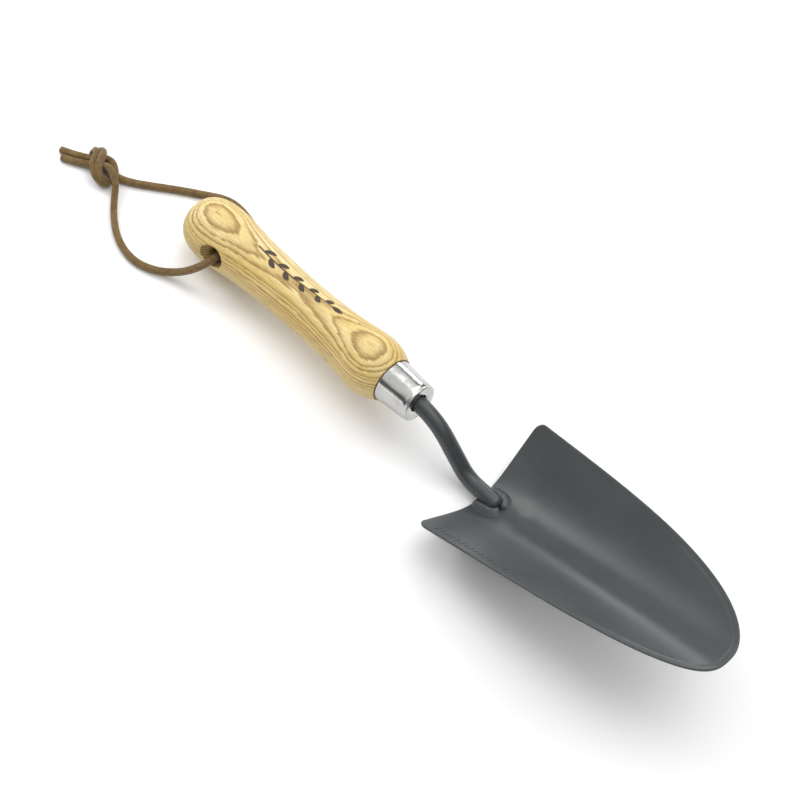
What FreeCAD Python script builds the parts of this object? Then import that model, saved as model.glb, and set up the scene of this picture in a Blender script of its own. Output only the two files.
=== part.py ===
import FreeCAD, Part
import math
import os

from FreeCAD import Vector

# Hand transplanter: a narrow pressed steel blade on a swan-neck shank, an ash handle with a
# steel ferrule, and a leather lanyard tied through the hanging hole.
#
# Millimetres. +X runs along the tool towards the blade's tip, +Y to its left, +Z up.
# The tool lies hollow side up on the surface Z = 0, on its pommel and on the blade's heel.
# The origin is on that surface, midway along the tool. Y = 0 is its plane of symmetry.

# ---- driving dimensions: blade -------------------------------------------------------------
HEEL_X = 31.8            # where the blade's heel stands on the surface
BLADE_RISE = 20.7        # degrees, the keel line above the surface
BLADE_LENGTH = 143.3     # heel to tip, along the keel line
BLADE_HALF_WIDTH = 39.2
BLADE_DEPTH = 19.4       # rear corners above the keel
BLADE_DEPTH_LOSS = 0.08  # share of the depth lost at the tip
KEEL_FLAT = 3.6          # half width of the flat along the trough's bottom
KEEL_ROUNDING = 6.0      # width over which each side of the flat turns up
KEEL_DROP = 2.2          # the keel line curves down by this at the tip
SHEET = 1.5              # blade thickness
SIDE_TAPER = 0.28        # share of the width lost from heel to tip before the tip rounds off
TIP_SQUARENESS = 4.17    # exponents of the rounded tip
TIP_FULLNESS = 2.54
CORNER_FORWARD = 3.2     # rear corners ahead of the heel, so the rear edge bows backwards
CORNER_RADIUS = 4.5

# ---- driving dimensions: handle and ferrule ------------------------------------------------
HANDLE_PITCH = 5.1       # degrees, the handle's axis climbs towards the blade
POMMEL_END_X = -166.05
POMMEL_END_Z = 14.1
HANDLE_LENGTH = 136.7    # pommel end to ferrule joint
FERRULE_LENGTH = 18.4
FERRULE_REAR_RADIUS = 10.9
FERRULE_FRONT_RADIUS = 9.6
FERRULE_WALL = 0.9
FERRULE_EDGE_ROUNDING = 1.4
FERRULE_MOUTH_RADIUS = 5.1
TENON_LENGTH = 15.0      # wood inside the ferrule

# Handle outline: control points of one smooth curve, each the distance from the pommel end
# and the distance from the axis. The curve starts on the axis.
HANDLE_OUTLINE = [
    (0.0, 0.0),
    (0.0, 8.0),
    (4.2, 12.9),
    (11.4, 15.5),
    (23.2, 16.0),
    (39.2, 13.5),
    (57.0, 12.8),
    (78.0, 11.9),
    (99.0, 12.7),
    (114.0, 13.9),
    (125.0, 16.0),
    (132.5, 13.9),
    (136.7, 11.5),
]

# ---- driving dimensions: shank -------------------------------------------------------------
BAR_RADIUS = 4.0
TANG_DEPTH = 60.0        # tang inside the wood, behind the ferrule joint
TANG_END_ROUNDING = 1.5
BORE_RADIUS = 4.35       # drilled in the handle, filled with adhesive around the tang
BORE_DEPTH = 64.0
ADHESIVE_SHORT_OF_TENON = 1.0
UPPER_BEND = (-2.0, 26.0)            # X where the two straight lines meet, bend radius
LOWER_BEND = (22.5, 5.8, 14.0)       # X, Z and radius of the bend above the heel
FOOT_END = (42.6, 6.5)               # X, Z of the bar's end, welded down on the keel
FOOT_NOSE_ROUNDING = 2.6

# ---- driving dimensions: weld --------------------------------------------------------------
WELD_RADIUS = 2.3
WELD_HEIGHT = 0.7        # centre line above the keel
WELD_START = -1.2        # from the heel along the keel line
WELD_END = 11.4
WELD_REAR_OFFSET = 3.3   # centre line from the plane of symmetry
WELD_FRONT_OFFSET = 3.7
WELD_TOE_ADVANCE = 0.9   # the bead runs this much further forward as it rounds the toe
WELD_TOE_RADIUS = 2.8

# ---- driving dimensions: hanging hole and lanyard ------------------------------------------
HOLE_STATION = 28.9      # from the pommel end
HOLE_ROLL = 14.0         # degrees, the hole's near mouth is above the handle's side
HOLE_RADIUS = 4.0
HOLE_MOUTH_RADIUS = 6.2
HOLE_MOUTH_DEPTH = 2.8
HOLE_HALF_LENGTH = 15.0  # centre to where the mouth has its full radius
LACE_RADIUS = 1.75

# ---- construction only ---------------------------------------------------------------------
SURFACE_MARGIN = 8.0     # the blade's surface is built this much past its outline
CUT_OVERRUN = 4.0
TRIM_DEPTH = 14.0        # thickness of the block that trims foot and welds under the blade
PRISM_BOTTOM = -30.0
PRISM_HEIGHT = 80.0
OFFSET_TOLERANCE = 0.01
SIDE_BOX = (200.0, 30.0, 60.0)       # holds all of one side of the heel, from the plane of symmetry
SIDE_BOX_BOTTOM = -10.0
ROLL_MIDDLE = (0.29, 0.27)           # middle of the ferrule's rounded edge, as shares of the rounding
LACE_BEND_SHARE = 0.45               # share of a run that the bend at each of its ends may take


# ---- small helpers -------------------------------------------------------------------------
def turned_up(shape, degrees, pivot):
    """Tip a shape's +X end up, about a line parallel to Y."""
    moved = shape.copy()
    moved.rotate(pivot, Vector(0, 1, 0), -degrees)
    return moved


def rounded_path(points, radii):
    """Straight runs joined by tangent arcs, one radius for each inner point."""
    edges = []
    start = points[0]
    for index, radius in enumerate(radii, start=1):
        corner = points[index]
        back = (points[index - 1] - corner).normalize()
        ahead = (points[index + 1] - corner).normalize()
        half_turn = (math.pi - back.getAngle(ahead)) / 2
        reach = radius * math.tan(half_turn)
        arc_start = corner + back * reach
        arc_end = corner + ahead * reach
        middle = (back + ahead).normalize()
        arc_middle = corner + middle * (radius / math.cos(half_turn) - radius)
        edges.append(Part.LineSegment(start, arc_start).toShape())
        edges.append(Part.Arc(arc_start, arc_middle, arc_end).toShape())
        start = arc_end
    edges.append(Part.LineSegment(start, points[-1]).toShape())
    return Part.Wire(edges)


def tube(path, radius):
    first = path.Edges[0]
    start = first.valueAt(first.FirstParameter)
    direction = first.tangentAt(first.FirstParameter)
    ring = Part.Wire(Part.makeCircle(radius, start, direction))
    return path.makePipeShell([ring], True, False)


def solid_of_turning(outline_edges):
    """A closed outline in the XZ plane turned once about the X axis."""
    face = Part.Face(Part.Wire(outline_edges))
    return face.revolve(Vector(0, 0, 0), Vector(1, 0, 0), 360)


def line(a, b):
    return Part.LineSegment(Vector(*a), Vector(*b)).toShape()


def largest_solid(shape):
    return max(shape.Solids, key=lambda solid: solid.Volume)


# ---- placing: blade frame and handle frame into the tool's frame ---------------------------
BLADE_ORIGIN = Vector(HEEL_X, 0, SHEET * math.cos(math.radians(BLADE_RISE)))
POMMEL_END = Vector(POMMEL_END_X, 0, POMMEL_END_Z)
HANDLE_AXIS = Vector(math.cos(math.radians(HANDLE_PITCH)), 0, math.sin(math.radians(HANDLE_PITCH)))


def place_on_blade(shape):
    """Blade frame: X along the keel line from the heel, Z = 0 on the keel's hollow side."""
    moved = turned_up(shape, BLADE_RISE, Vector(0, 0, 0))
    moved.translate(BLADE_ORIGIN)
    return moved


def place_on_handle(shape):
    """Handle frame: X along the handle's axis from the pommel's end."""
    moved = turned_up(shape, HANDLE_PITCH, Vector(0, 0, 0))
    moved.translate(POMMEL_END)
    return moved


# ---- blade ---------------------------------------------------------------------------------
def side_rise(y):
    """Flat in the middle, then turning up into nearly straight sides."""
    past_flat = max(abs(y) - KEEL_FLAT, 0.0)
    return math.hypot(past_flat, KEEL_ROUNDING) - KEEL_ROUNDING


def hollow_point(x, y):
    """A point of the blade's hollow side: a trough with a narrow flat bottom."""
    along = max(x, 0.0) / BLADE_LENGTH
    depth = BLADE_DEPTH * (1 - BLADE_DEPTH_LOSS * along)
    return Vector(x, y, depth * side_rise(y) / side_rise(BLADE_HALF_WIDTH) - KEEL_DROP * along ** 3)


def hollow_face():
    """The hollow side's surface, running past the blade's outline on every side."""
    rows = 8
    columns = 28
    length = BLADE_LENGTH + 2 * SURFACE_MARGIN
    reach = BLADE_HALF_WIDTH + SURFACE_MARGIN
    grid = []
    for i in range(rows + 1):
        x = length * i / rows - SURFACE_MARGIN
        grid.append([hollow_point(x, reach * (2 * j / columns - 1)) for j in range(columns + 1)])
    surface = Part.BSplineSurface()
    surface.interpolate(grid)
    return surface.toShape()


def outline_point(turn, side):
    """turn runs from 0 at the rear corner to a quarter turn at the tip."""
    along = math.sin(turn) ** (2 / TIP_SQUARENESS)
    fullness = max(math.cos(turn), 0) ** (2 / TIP_FULLNESS)
    half_width = BLADE_HALF_WIDTH * (1 - SIDE_TAPER * along) * fullness
    return Vector(CORNER_FORWARD + (BLADE_LENGTH - CORNER_FORWARD) * along, side * half_width, 0)


def blade_prism():
    """An upright block with the blade's outline seen square to the keel line."""
    steps = 10
    turns = [math.pi / 2 * (i / steps) ** 2 for i in range(steps + 1)]
    right = [outline_point(turn, -1) for turn in turns]
    left = [outline_point(turn, 1) for turn in reversed(turns[:-1])]
    edge = Part.BSplineCurve()
    edge.interpolate(right + left)
    rear = Part.Arc(left[-1], Vector(0, 0, 0), right[0])
    block = Part.Face(Part.Wire([edge.toShape(), rear.toShape()]))
    block.translate(Vector(0, 0, PRISM_BOTTOM))
    block = block.extrude(Vector(0, 0, PRISM_HEIGHT))
    corners = [e for e in block.Edges if abs(e.tangentAt(e.FirstParameter).z) > 0.999]
    return block.makeFillet(CORNER_RADIUS, corners)


def make_blade():
    sheet = hollow_face().makeOffsetShape(-SHEET, OFFSET_TOLERANCE, fill=True)
    return place_on_blade(largest_solid(sheet.common(blade_prism())))


def below_hollow():
    """Everything under the hollow side, for trimming what is welded on it."""
    return place_on_blade(hollow_face().makeOffsetShape(-TRIM_DEPTH, OFFSET_TOLERANCE, fill=True))


# ---- shank ---------------------------------------------------------------------------------
def bar_path():
    """Tang on the handle's axis, swan neck down to the heel, foot along the keel."""
    tang_end = POMMEL_END + HANDLE_AXIS * (HANDLE_LENGTH - TANG_DEPTH)
    upper_x, upper_radius = UPPER_BEND
    climb = (upper_x - POMMEL_END_X) * math.tan(math.radians(HANDLE_PITCH))
    upper = Vector(upper_x, 0, POMMEL_END_Z + climb)
    lower_x, lower_z, lower_radius = LOWER_BEND
    lower = Vector(lower_x, 0, lower_z)
    foot = Vector(FOOT_END[0], 0, FOOT_END[1])
    return rounded_path([tang_end, upper, lower, foot], [upper_radius, lower_radius])


def end_circle(bar, end):
    """The edge around the bar's flat end whose centre is at the given point."""
    return min(bar.Edges, key=lambda edge: edge.CenterOfMass.distanceToPoint(end))


def make_shank(under_blade):
    path = bar_path()
    bar = tube(path, BAR_RADIUS)
    first = path.Edges[0]
    last = path.Edges[-1]
    tang_end = first.valueAt(first.FirstParameter)
    foot_end = last.valueAt(last.LastParameter)
    bar = bar.makeFillet(TANG_END_ROUNDING, [end_circle(bar, tang_end)])
    bar = bar.makeFillet(FOOT_NOSE_ROUNDING, [end_circle(bar, foot_end)])
    return largest_solid(bar.cut(under_blade))


# ---- weld beads ----------------------------------------------------------------------------
def make_weld(side, blade, shank, under_blade):
    """One fillet along the foot's flank and half way round its toe."""
    points = [
        Vector(WELD_START, side * WELD_REAR_OFFSET, WELD_HEIGHT),
        Vector(WELD_END, side * WELD_FRONT_OFFSET, WELD_HEIGHT),
        Vector(WELD_END + WELD_TOE_ADVANCE, -side * WELD_REAR_OFFSET, WELD_HEIGHT),
    ]
    bead = place_on_blade(tube(rounded_path(points, [WELD_TOE_RADIUS]), WELD_RADIUS))
    box_edge = 0 if side > 0 else -SIDE_BOX[1]
    one_side = Part.makeBox(*SIDE_BOX, Vector(0, box_edge, SIDE_BOX_BOTTOM))
    bead = bead.common(one_side).cut(under_blade).cut(blade).cut(shank)
    return largest_solid(bead)


# ---- ferrule -------------------------------------------------------------------------------
def ferrule_radius(station):
    share = (station - HANDLE_LENGTH) / FERRULE_LENGTH
    return FERRULE_REAR_RADIUS + (FERRULE_FRONT_RADIUS - FERRULE_REAR_RADIUS) * share


def make_ferrule():
    rear = HANDLE_LENGTH
    front = HANDLE_LENGTH + FERRULE_LENGTH
    roll = FERRULE_EDGE_ROUNDING
    wall = FERRULE_WALL
    roll_start = (front - roll, 0, ferrule_radius(front - roll))
    roll_end = (front, 0, FERRULE_FRONT_RADIUS - roll)
    roll_middle = (front - roll * ROLL_MIDDLE[0], 0, FERRULE_FRONT_RADIUS - roll * ROLL_MIDDLE[1])
    roll_arc = Part.Arc(Vector(*roll_start), Vector(*roll_middle), Vector(*roll_end)).toShape()
    inner_front = (front - wall, 0, ferrule_radius(front - wall) - wall)
    outline = [
        line((rear, 0, FERRULE_REAR_RADIUS - wall), (rear, 0, FERRULE_REAR_RADIUS)),
        line((rear, 0, FERRULE_REAR_RADIUS), roll_start),
        roll_arc,
        line(roll_end, (front, 0, FERRULE_MOUTH_RADIUS)),
        line((front, 0, FERRULE_MOUTH_RADIUS), (front - wall, 0, FERRULE_MOUTH_RADIUS)),
        line((front - wall, 0, FERRULE_MOUTH_RADIUS), inner_front),
        line(inner_front, (rear, 0, FERRULE_REAR_RADIUS - wall)),
    ]
    return place_on_handle(solid_of_turning(outline))


# ---- handle --------------------------------------------------------------------------------
HOLE_DIRECTION = Vector(0, -math.cos(math.radians(HOLE_ROLL)), math.sin(math.radians(HOLE_ROLL)))


def hanging_hole_cutter():
    """A drilled hole right through, with a widened mouth on each side."""
    centre = Vector(HOLE_STATION, 0, 0)
    half_length = HOLE_HALF_LENGTH + CUT_OVERRUN
    start = centre - HOLE_DIRECTION * half_length
    cutter = Part.makeCylinder(HOLE_RADIUS, 2 * half_length, start, HOLE_DIRECTION)
    slope = (HOLE_MOUTH_RADIUS - HOLE_RADIUS) / HOLE_MOUTH_DEPTH
    outer_radius = HOLE_MOUTH_RADIUS + slope * CUT_OVERRUN
    mouth_length = HOLE_MOUTH_DEPTH + CUT_OVERRUN
    mouths = []
    for direction in (HOLE_DIRECTION, -HOLE_DIRECTION):
        root = centre + direction * (HOLE_HALF_LENGTH - HOLE_MOUTH_DEPTH)
        mouths.append(Part.makeCone(HOLE_RADIUS, outer_radius, mouth_length, root, direction))
    return cutter.fuse(mouths)


def make_handle():
    curve = Part.BSplineCurve()
    curve.buildFromPoles([Vector(station, 0, radius) for station, radius in HANDLE_OUTLINE], False, 3)
    wood_front = HANDLE_LENGTH + TENON_LENGTH
    seat = FERRULE_REAR_RADIUS - FERRULE_WALL
    tenon_front = ferrule_radius(wood_front) - FERRULE_WALL
    shoulder = (HANDLE_LENGTH, 0, HANDLE_OUTLINE[-1][1])
    outline = [
        curve.toShape(),
        line(shoulder, (HANDLE_LENGTH, 0, seat)),
        line((HANDLE_LENGTH, 0, seat), (wood_front, 0, tenon_front)),
        line((wood_front, 0, tenon_front), (wood_front, 0, 0)),
        line((wood_front, 0, 0), (0, 0, 0)),
    ]
    wood = solid_of_turning(outline)
    bore_start = Vector(HANDLE_LENGTH - BORE_DEPTH, 0, 0)
    bore_length = BORE_DEPTH + TENON_LENGTH + CUT_OVERRUN
    bore = Part.makeCylinder(BORE_RADIUS, bore_length, bore_start, Vector(1, 0, 0))
    return place_on_handle(largest_solid(wood.cut([bore, hanging_hole_cutter()])))


def make_adhesive(shank):
    """Epoxy that fills the bore around the tang, up to the tenon's end."""
    start = Vector(HANDLE_LENGTH - BORE_DEPTH, 0, 0)
    length = BORE_DEPTH + TENON_LENGTH - ADHESIVE_SHORT_OF_TENON
    fill = place_on_handle(Part.makeCylinder(BORE_RADIUS, length, start, Vector(1, 0, 0)))
    return largest_solid(fill.cut(shank))


# ---- lanyard -------------------------------------------------------------------------------
# One leather lace. Each half starts in the middle of the hanging hole. The two meet in an
# overhand knot behind the pommel and end in two short cut tails.
NEAR_ROUTE = [
    (-137.3, 0.0, 16.7),
    (-137.4, -5.6, 17.7),
    (-137.5, -11.3, 18.5),
    (-138.8, -18.4, 16.7),
    (-144.3, -22.6, 10.2),
    (-150.6, -26.4, 5.0),
    (-159.2, -31.7, 2.1),
    (-169.0, -35.7, 1.9),
    (-179.6, -35.3, 1.9),
    (-189.5, -31.7, 1.9),
    (-198.9, -25.5, 1.9),
    (-205.9, -19.3, 2.7),
    (-211.5, -13.9, 6.0),
    (-218.3, -12.3, 7.0),
]
FAR_ROUTE = [
    (-137.3, 0.0, 16.7),
    (-137.1, 8.6, 14.2),
    (-137.9, 17.2, 11.4),
    (-143.6, 20.0, 7.2),
    (-152.2, 22.7, 4.5),
    (-162.0, 24.0, 2.5),
    (-171.0, 22.4, 1.9),
    (-179.5, 16.0, 1.9),
    (-188.4, 9.6, 1.9),
    (-197.4, 2.3, 1.9),
    (-205.6, -4.3, 1.9),
    (-212.6, -8.9, 2.9),
    (-219.0, -12.0, 4.2),
]
NEAR_TAIL_ROUTE = [
    (-223.8, -11.6, 4.5),
    (-229.2, -15.2, 3.7),
    (-234.2, -18.5, 2.3),
    (-243.0, -23.3, 1.9),
]
FAR_TAIL_ROUTE = [
    (-227.2, -8.9, 5.1),
    (-232.6, -12.6, 4.3),
    (-238.6, -16.3, 2.6),
    (-247.4, -19.9, 1.9),
]
KNOT_CENTRE = Vector(-222.8, -11.9, 4.9)
KNOT_HALF_SIZES = (6.4, 9.8, 4.85)   # along the lace, across it, upwards
KNOT_TURN = 50.0                     # degrees, the lace's direction through the knot from +X


def lace_radii(points):
    radii = []
    for before, corner, after in zip(points, points[1:], points[2:]):
        back = before - corner
        ahead = after - corner
        half_turn = (math.pi - back.getAngle(ahead)) / 2
        radii.append(LACE_BEND_SHARE * min(back.Length, ahead.Length) / math.tan(half_turn))
    return radii


def lace_tube(name, route):
    points = [Vector(*point) for point in route]
    radii = lace_radii(points)
    path = rounded_path(points, radii)
    strand = tube(path, LACE_RADIUS)
    expected = math.pi * LACE_RADIUS ** 2 * path.Length
    print(name, "length", round(path.Length, 1), "radii", [round(r, 1) for r in radii])
    print(name, "volume", round(strand.Volume, 1), "section times length", round(expected, 1))
    return strand


def make_knot():
    """The closed outer shape of the knot."""
    ball = Part.makeSphere(1.0)
    stretch = FreeCAD.Matrix()
    stretch.scale(Vector(*KNOT_HALF_SIZES))
    knot = ball.transformGeometry(stretch)
    knot.rotate(Vector(0, 0, 0), Vector(0, 0, 1), KNOT_TURN)
    knot.translate(KNOT_CENTRE)
    return knot


# ---- assembly ------------------------------------------------------------------------------
def main():
    os.makedirs("parts", exist_ok=True)
    blade = make_blade()
    under_blade = below_hollow()
    shank = make_shank(under_blade)
    knot = make_knot()
    nodes = {
        "blade": blade,
        "shank": shank,
        "weld_near": make_weld(-1, blade, shank, under_blade),
        "weld_far": make_weld(1, blade, shank, under_blade),
        "ferrule": make_ferrule(),
        "handle": make_handle(),
        "tang_adhesive": make_adhesive(shank),
        "lanyard_knot": knot,
    }
    strands = {
        "lanyard_near_strand": NEAR_ROUTE,
        "lanyard_far_strand": FAR_ROUTE,
        "lanyard_near_tail": NEAR_TAIL_ROUTE,
        "lanyard_far_tail": FAR_TAIL_ROUTE,
    }
    for name, route in strands.items():
        nodes[name] = largest_solid(lace_tube(name, route).cut(knot))
    for name, shape in nodes.items():
        box = shape.optimalBoundingBox(True, False)
        low = [round(v, 2) for v in (box.XMin, box.YMin, box.ZMin)]
        high = [round(v, 2) for v in (box.XMax, box.YMax, box.ZMax)]
        print(name, shape.isValid(), len(shape.Solids), "volume", round(shape.Volume, 1), low, high)
        shape.exportStep("parts/" + name + ".step")


main()
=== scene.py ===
import math
import random

import bmesh
import bpy
from mathutils import Matrix, Vector


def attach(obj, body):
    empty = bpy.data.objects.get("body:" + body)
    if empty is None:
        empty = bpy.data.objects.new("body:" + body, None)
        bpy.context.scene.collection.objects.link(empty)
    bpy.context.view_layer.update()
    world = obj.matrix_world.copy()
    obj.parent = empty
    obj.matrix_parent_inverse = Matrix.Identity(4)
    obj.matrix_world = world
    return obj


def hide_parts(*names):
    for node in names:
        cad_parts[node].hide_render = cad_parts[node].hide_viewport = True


# Looks of a hand transplanter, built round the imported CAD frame. Metres, in the row frame:
# +X towards the blade's tip, +Z up, the tool lying hollow side up on the floor.

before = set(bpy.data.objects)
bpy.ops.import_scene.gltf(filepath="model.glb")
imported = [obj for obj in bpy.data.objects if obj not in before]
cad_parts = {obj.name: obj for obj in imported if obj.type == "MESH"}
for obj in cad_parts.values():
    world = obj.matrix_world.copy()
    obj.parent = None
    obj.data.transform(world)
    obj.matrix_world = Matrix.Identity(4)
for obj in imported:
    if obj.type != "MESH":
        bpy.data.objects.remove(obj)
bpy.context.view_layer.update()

MM = 0.001
random.seed(7)

# ---- camera --------------------------------------------------------------------------------
CAMERA_PLACE = Vector((0.2449, -0.3341, 0.7073))
CAMERA_AZIMUTH = math.radians(38.746)
CAMERA_ELEVATION = math.radians(58.171)
CAMERA_ROLL = math.radians(8.836)
CAMERA_LENS = 80.0


def add_camera():
    """The photo's viewpoint. Azimuth, elevation and roll give the camera's axes."""
    back = Vector((
        math.sin(CAMERA_AZIMUTH) * math.cos(CAMERA_ELEVATION),
        -math.cos(CAMERA_AZIMUTH) * math.cos(CAMERA_ELEVATION),
        math.sin(CAMERA_ELEVATION),
    ))
    level_right = Vector((math.cos(CAMERA_AZIMUTH), math.sin(CAMERA_AZIMUTH), 0))
    level_up = back.cross(level_right)
    right = level_right * math.cos(CAMERA_ROLL) + level_up * math.sin(CAMERA_ROLL)
    up = back.cross(right)
    data = bpy.data.cameras.new("camera")
    data.lens = CAMERA_LENS
    data.sensor_width = 36.0
    data.clip_start = 0.05
    data.clip_end = 20.0
    camera = bpy.data.objects.new("camera", data)
    camera.matrix_world = Matrix((
        (right.x, up.x, back.x, CAMERA_PLACE.x),
        (right.y, up.y, back.y, CAMERA_PLACE.y),
        (right.z, up.z, back.z, CAMERA_PLACE.z),
        (0, 0, 0, 1),
    ))
    bpy.context.scene.collection.objects.link(camera)
    bpy.context.scene.camera = camera


# ---- mesh helpers --------------------------------------------------------------------------
def mesh_object(name, points, faces, materials, smooth_angle=None, second_from=None):
    """A new mesh piece. smooth_angle in degrees keeps sharper edges sharp; None smooths all.
    Faces from number second_from on have the second material."""
    mesh = bpy.data.meshes.new(name)
    mesh.from_pydata([tuple(p) for p in points], [], faces)
    for material in materials:
        mesh.materials.append(material)
    if second_from is not None:
        for polygon in mesh.polygons[second_from:]:
            polygon.material_index = 1
    mesh.validate()
    finish_mesh(mesh, smooth_angle)
    piece = bpy.data.objects.new(name, mesh)
    bpy.context.scene.collection.objects.link(piece)
    return piece


def finish_mesh(mesh, smooth_angle=None):
    """Merges doubled points, turns the faces outward and shades them smooth."""
    work = bmesh.new()
    work.from_mesh(mesh)
    bmesh.ops.remove_doubles(work, verts=work.verts, dist=1e-6)
    bmesh.ops.recalc_face_normals(work, faces=work.faces)
    for face in work.faces:
        face.smooth = True
    if smooth_angle is not None:
        limit = math.radians(smooth_angle)
        for edge in work.edges:
            edge.smooth = len(edge.link_faces) != 2 or edge.calc_face_angle(0) < limit
    work.to_mesh(mesh)
    work.free()


def nurbs_line(points, order, resolution):
    """Points along the NURBS curve that has these control points."""
    data = bpy.data.curves.new("line", "CURVE")
    data.dimensions = "3D"
    data.resolution_u = resolution
    spline = data.splines.new("NURBS")
    spline.points.add(len(points) - 1)
    for target, point in zip(spline.points, points):
        target.co = (*point, 1)
    spline.order_u = order
    spline.use_endpoint_u = True
    holder = bpy.data.objects.new("line", data)
    mesh = bpy.data.meshes.new_from_object(holder)
    line = [mesh.vertices[0].co.copy()]
    for vertex in mesh.vertices:
        if (vertex.co - line[-1]).length > 1e-5:
            line.append(vertex.co.copy())
    bpy.data.meshes.remove(mesh)
    bpy.data.objects.remove(holder)
    bpy.data.curves.remove(data)
    return line


def ring_faces(rings, around):
    """Quads between closed rings of points, each with this many points around."""
    faces = []
    for i in range(rings - 1):
        for j in range(around):
            k = (j + 1) % around
            a = i * around
            faces.append((a + j, a + k, a + around + k, a + around + j))
    return faces


def lathe(profile, steps):
    """profile is [(station, radius)] turned about X. A radius of 0 closes to a point."""
    points = []
    for station, radius in profile:
        for j in range(steps):
            turn = 2 * math.pi * j / steps
            points.append(Vector((station, radius * math.cos(turn), radius * math.sin(turn))))
    return points, ring_faces(len(profile), steps)


# ---- shader helpers ------------------------------------------------------------------------
class Finish:
    """A Principled material and short ways to add nodes to it."""

    def __init__(self, name):
        self.material = bpy.data.materials.new(name)
        self.material.use_nodes = True
        self.tree = self.material.node_tree
        self.surface = self.tree.nodes["Principled BSDF"]
        self.place = self.tree.nodes.new("ShaderNodeTexCoord").outputs["Object"]

    def feed(self, socket, value):
        if isinstance(value, bpy.types.NodeSocket):
            self.tree.links.new(value, socket)
        elif isinstance(value, tuple) and len(value) == 3 and socket.type == "RGBA":
            socket.default_value = (*value, 1)
        else:
            socket.default_value = value

    def node(self, kind, inputs, output=0, **settings):
        made = self.tree.nodes.new("ShaderNode" + kind)
        for key, value in settings.items():
            setattr(made, key, value)
        for key, value in inputs.items():
            self.feed(made.inputs[key], value)
        return made.outputs[output]

    def math(self, operation, a, b=0.0, clamp=False):
        return self.node("Math", {0: a, 1: b}, operation=operation, use_clamp=clamp)

    def mapped(self, scale, rotation=(0, 0, 0), location=(0, 0, 0), source=None):
        return self.node("Mapping", {
            "Vector": source or self.place,
            "Scale": scale,
            "Rotation": rotation,
            "Location": location,
        })

    def noise(self, vector, scale, detail=3.0, roughness=0.55, distortion=0.0):
        return self.node("TexNoise", {
            "Vector": vector,
            "Scale": scale,
            "Detail": detail,
            "Roughness": roughness,
            "Distortion": distortion,
        })

    def ramp(self, factor, stops):
        made = self.tree.nodes.new("ShaderNodeValToRGB")
        elements = made.color_ramp.elements
        while len(elements) < len(stops):
            elements.new(0.5)
        for element, (position, color) in zip(elements, stops):
            element.position = position
            element.color = (*color, 1) if isinstance(color, tuple) else (color, color, color, 1)
        self.feed(made.inputs[0], factor)
        return made.outputs[0]

    def mix(self, factor, a, b, blend="MIX"):
        made = self.tree.nodes.new("ShaderNodeMix")
        made.data_type = "RGBA"
        made.blend_type = blend
        self.feed(made.inputs[0], factor)
        self.feed(made.inputs[6], a)
        self.feed(made.inputs[7], b)
        return made.outputs[2]

    def bump(self, height, distance, strength=1.0, normal=None):
        inputs = {"Height": height, "Distance": distance, "Strength": strength}
        if normal is not None:
            inputs["Normal"] = normal
        return self.node("Bump", inputs)

    def set(self, **inputs):
        for key, value in inputs.items():
            self.feed(self.surface.inputs[key.replace("_", " ")], value)
        return self.material


# ---- materials -----------------------------------------------------------------------------
# Colours are linear. Lengths inside materials are in metres.
HANDLE_PITCH = math.radians(5.1)
POMMEL_END = Vector((-0.16605, 0, 0.0141))
RUBBED_COATING = (0.12, 0.125, 0.125)
RING_SPACING = 0.00135
PITH_BELOW = 0.069
PITH_TILT = 0.0066
PITH_ASIDE = 0.004
PALE_WOOD = (0.88, 0.735, 0.37)
WARM_WOOD = (0.77, 0.575, 0.20)
EARLY_WOOD = (0.34, 0.195, 0.042)
PORE_WOOD = (0.20, 0.105, 0.035)
CHAR_DARK = (0.034, 0.022, 0.014)
CHAR_PALE = (0.092, 0.058, 0.036)
# Share of porous early wood through one growth layer.
EARLY_SHARE = [(0.0, 0.1), (0.05, 1.0), (0.2, 0.9), (0.42, 0.35), (0.7, 0.08), (0.96, 0.0), (1.0, 0.1)]
SUEDE_TONES = [
    (0.25, (0.085, 0.055, 0.021)),
    (0.5, (0.172, 0.106, 0.038)),
    (0.78, (0.262, 0.172, 0.068)),
]
SUEDE_BLOTCH = (0.22, 0.132, 0.050)
SUEDE_SHADE = (0.070, 0.045, 0.020)


def coated_steel(name, tone, flow):
    """Satin dark grey coating: fine orange peel, faint clouding, small rubbed specks."""
    f = Finish(name)
    cloud = f.noise(f.mapped(flow), 26.0, 4.0)
    peel = f.noise(f.place, 1500.0, 2.0)
    grit = f.noise(f.place, 5200.0, 1.0)
    specks = f.ramp(f.noise(f.place, 1900.0, 3.0, 0.75), [(0.0, 0.0), (0.71, 0.0), (0.8, 1.0)])
    clouding = f.ramp(cloud, [(0.35, 0.0), (0.7, 1.0)])
    base = f.mix(clouding, tuple(0.9 * c for c in tone), tuple(1.12 * c for c in tone))
    worn = f.mix(f.math("MULTIPLY", specks, 0.25), base, RUBBED_COATING)
    rough = f.ramp(cloud, [(0.3, 0.34), (0.75, 0.40)])
    soft = f.bump(peel, 0.00003, 0.55)
    fine = f.bump(grit, 0.000012, 0.5, soft)
    return f.set(Base_Color=worn, Roughness=rough, Normal=fine, Specular_IOR_Level=0.55)


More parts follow.
